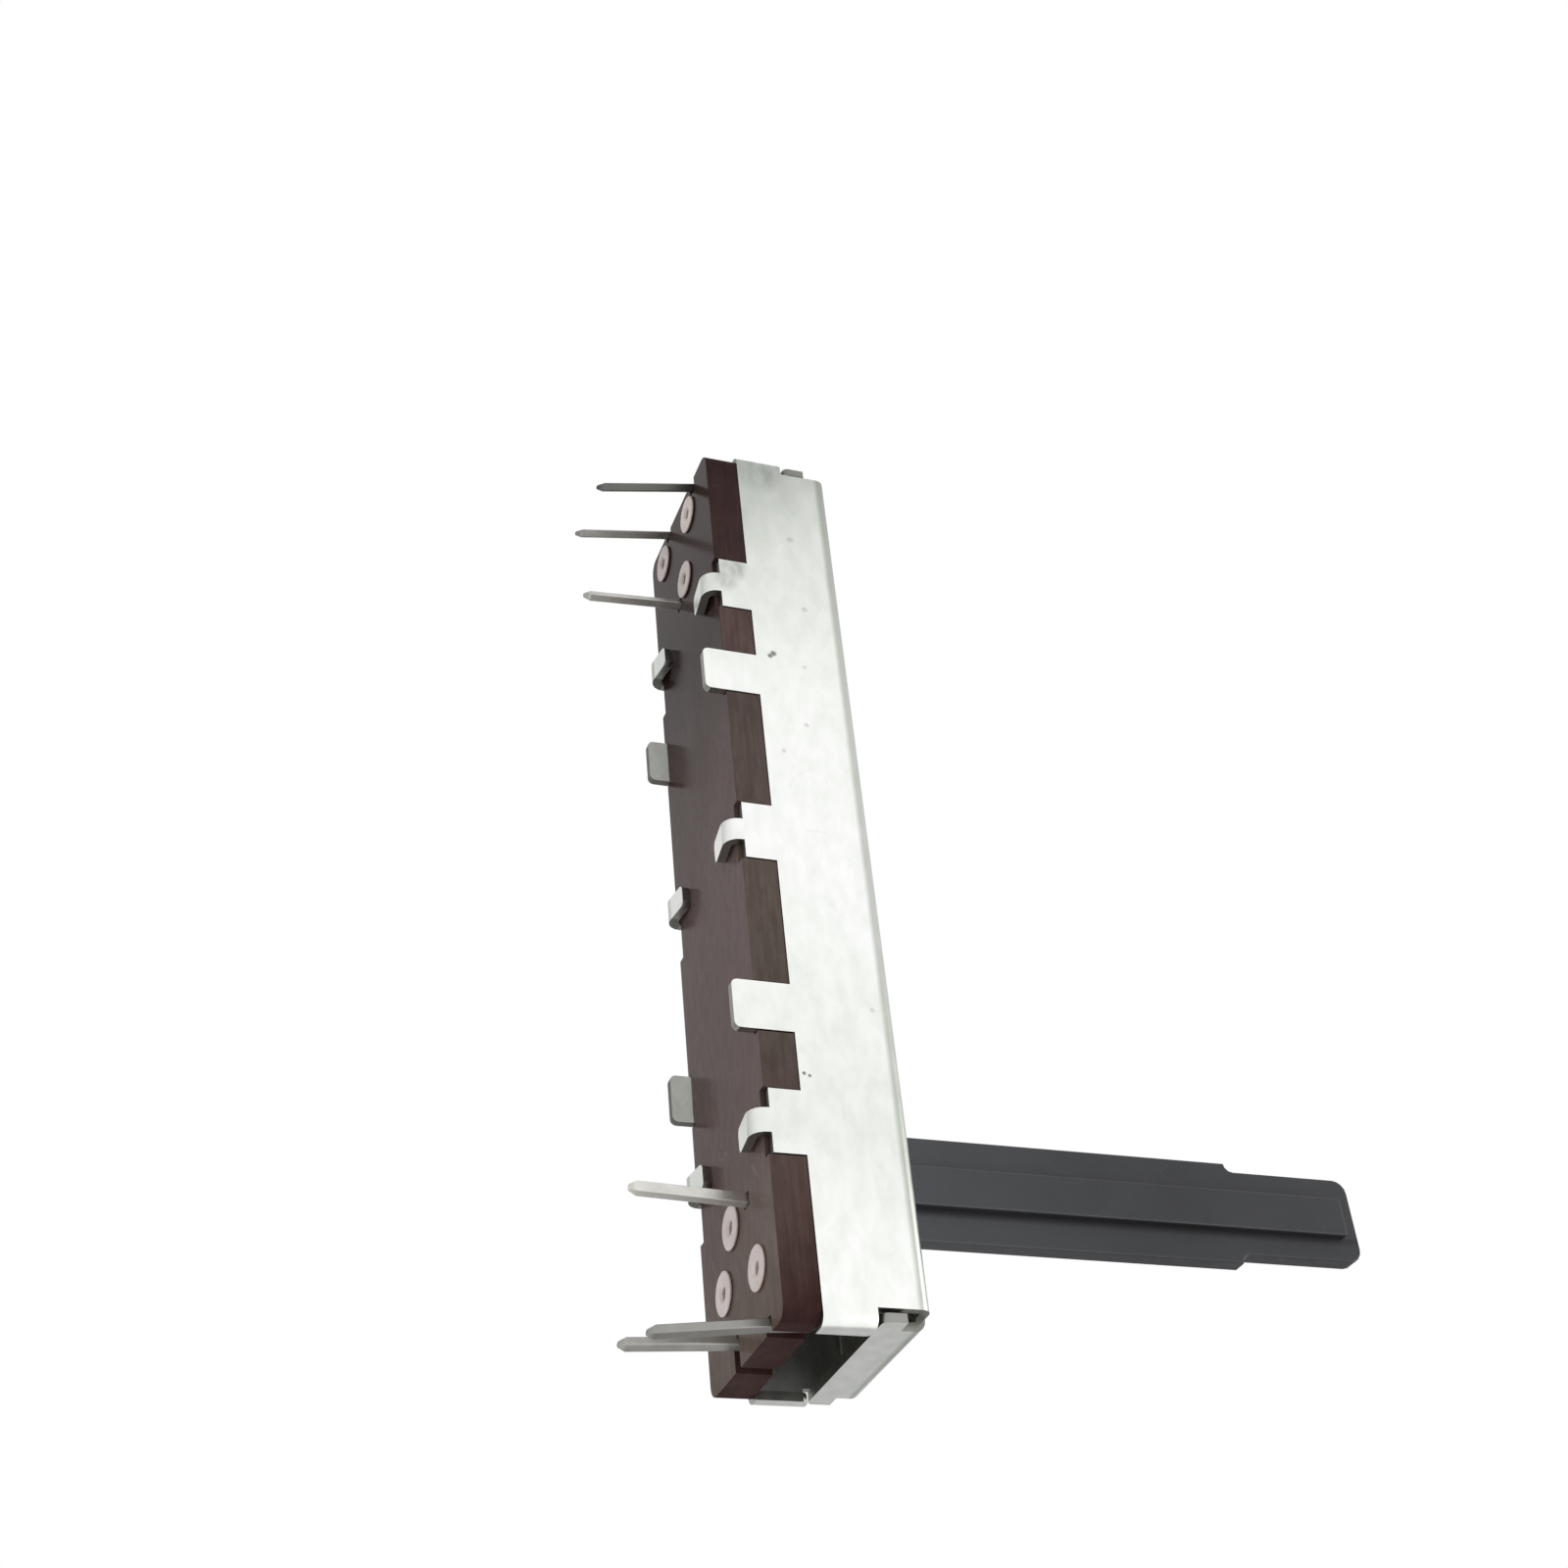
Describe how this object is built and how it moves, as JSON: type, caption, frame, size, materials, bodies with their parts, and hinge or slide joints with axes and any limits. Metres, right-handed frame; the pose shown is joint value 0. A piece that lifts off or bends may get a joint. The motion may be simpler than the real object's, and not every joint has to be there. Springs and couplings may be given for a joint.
{
  "type": "slide potentiometer",
  "caption": "Two-gang slide potentiometer with a folded tinned-steel housing, brown terminal board, bent solder pins and a ribbed black plastic lever.",
  "frame": {"origin": "middle of the terminal board's underside", "axes": "+X along the travel, towards the end where the slider rests; +Y across the body; +Z along the lever, away from the pins"},
  "size_m": [0.0458, 0.009, 0.0349],
  "materials": {
    "tinned_steel": "tin-plated sheet steel, satin",
    "phenolic": "brown phenolic laminate, glossy",
    "carbon_track": "printed carbon film",
    "silver_track": "printed silver film",
    "tinned_brass": "tin-plated brass, slightly dulled",
    "rivet_tin": "tin-plated brass rivet",
    "black_plastic": "moulded black nylon, satin",
    "spring_bronze": "phosphor bronze strip"
  },
  "bodies": {
    "base": {"housing_shell": "tinned_steel", "terminal_board": "phenolic", "resistive_track_a": "carbon_track", "resistive_track_b": "carbon_track", "collector_track_a": "silver_track", "collector_track_b": "silver_track", "terminal_1": "tinned_brass", "rivet_1": "rivet_tin", "terminal_2": "tinned_brass", "rivet_2": "rivet_tin", "terminal_3": "tinned_brass", "rivet_3": "rivet_tin", "terminal_4": "tinned_brass", "rivet_4": "rivet_tin", "terminal_5": "tinned_brass", "rivet_5": "rivet_tin", "terminal_6": "tinned_brass", "rivet_6": "rivet_tin"},
    "slider": {"slider": "black_plastic", "wiper_a": "spring_bronze", "wiper_b": "spring_bronze", "drag_spring": "spring_bronze"}
  },
  "joints": [
    {"name": "slide", "type": "slide", "parent": "base", "child": "slider", "axis": [1, 0, 0], "range_m": [-0.0297, 0.0003]}
  ]
}
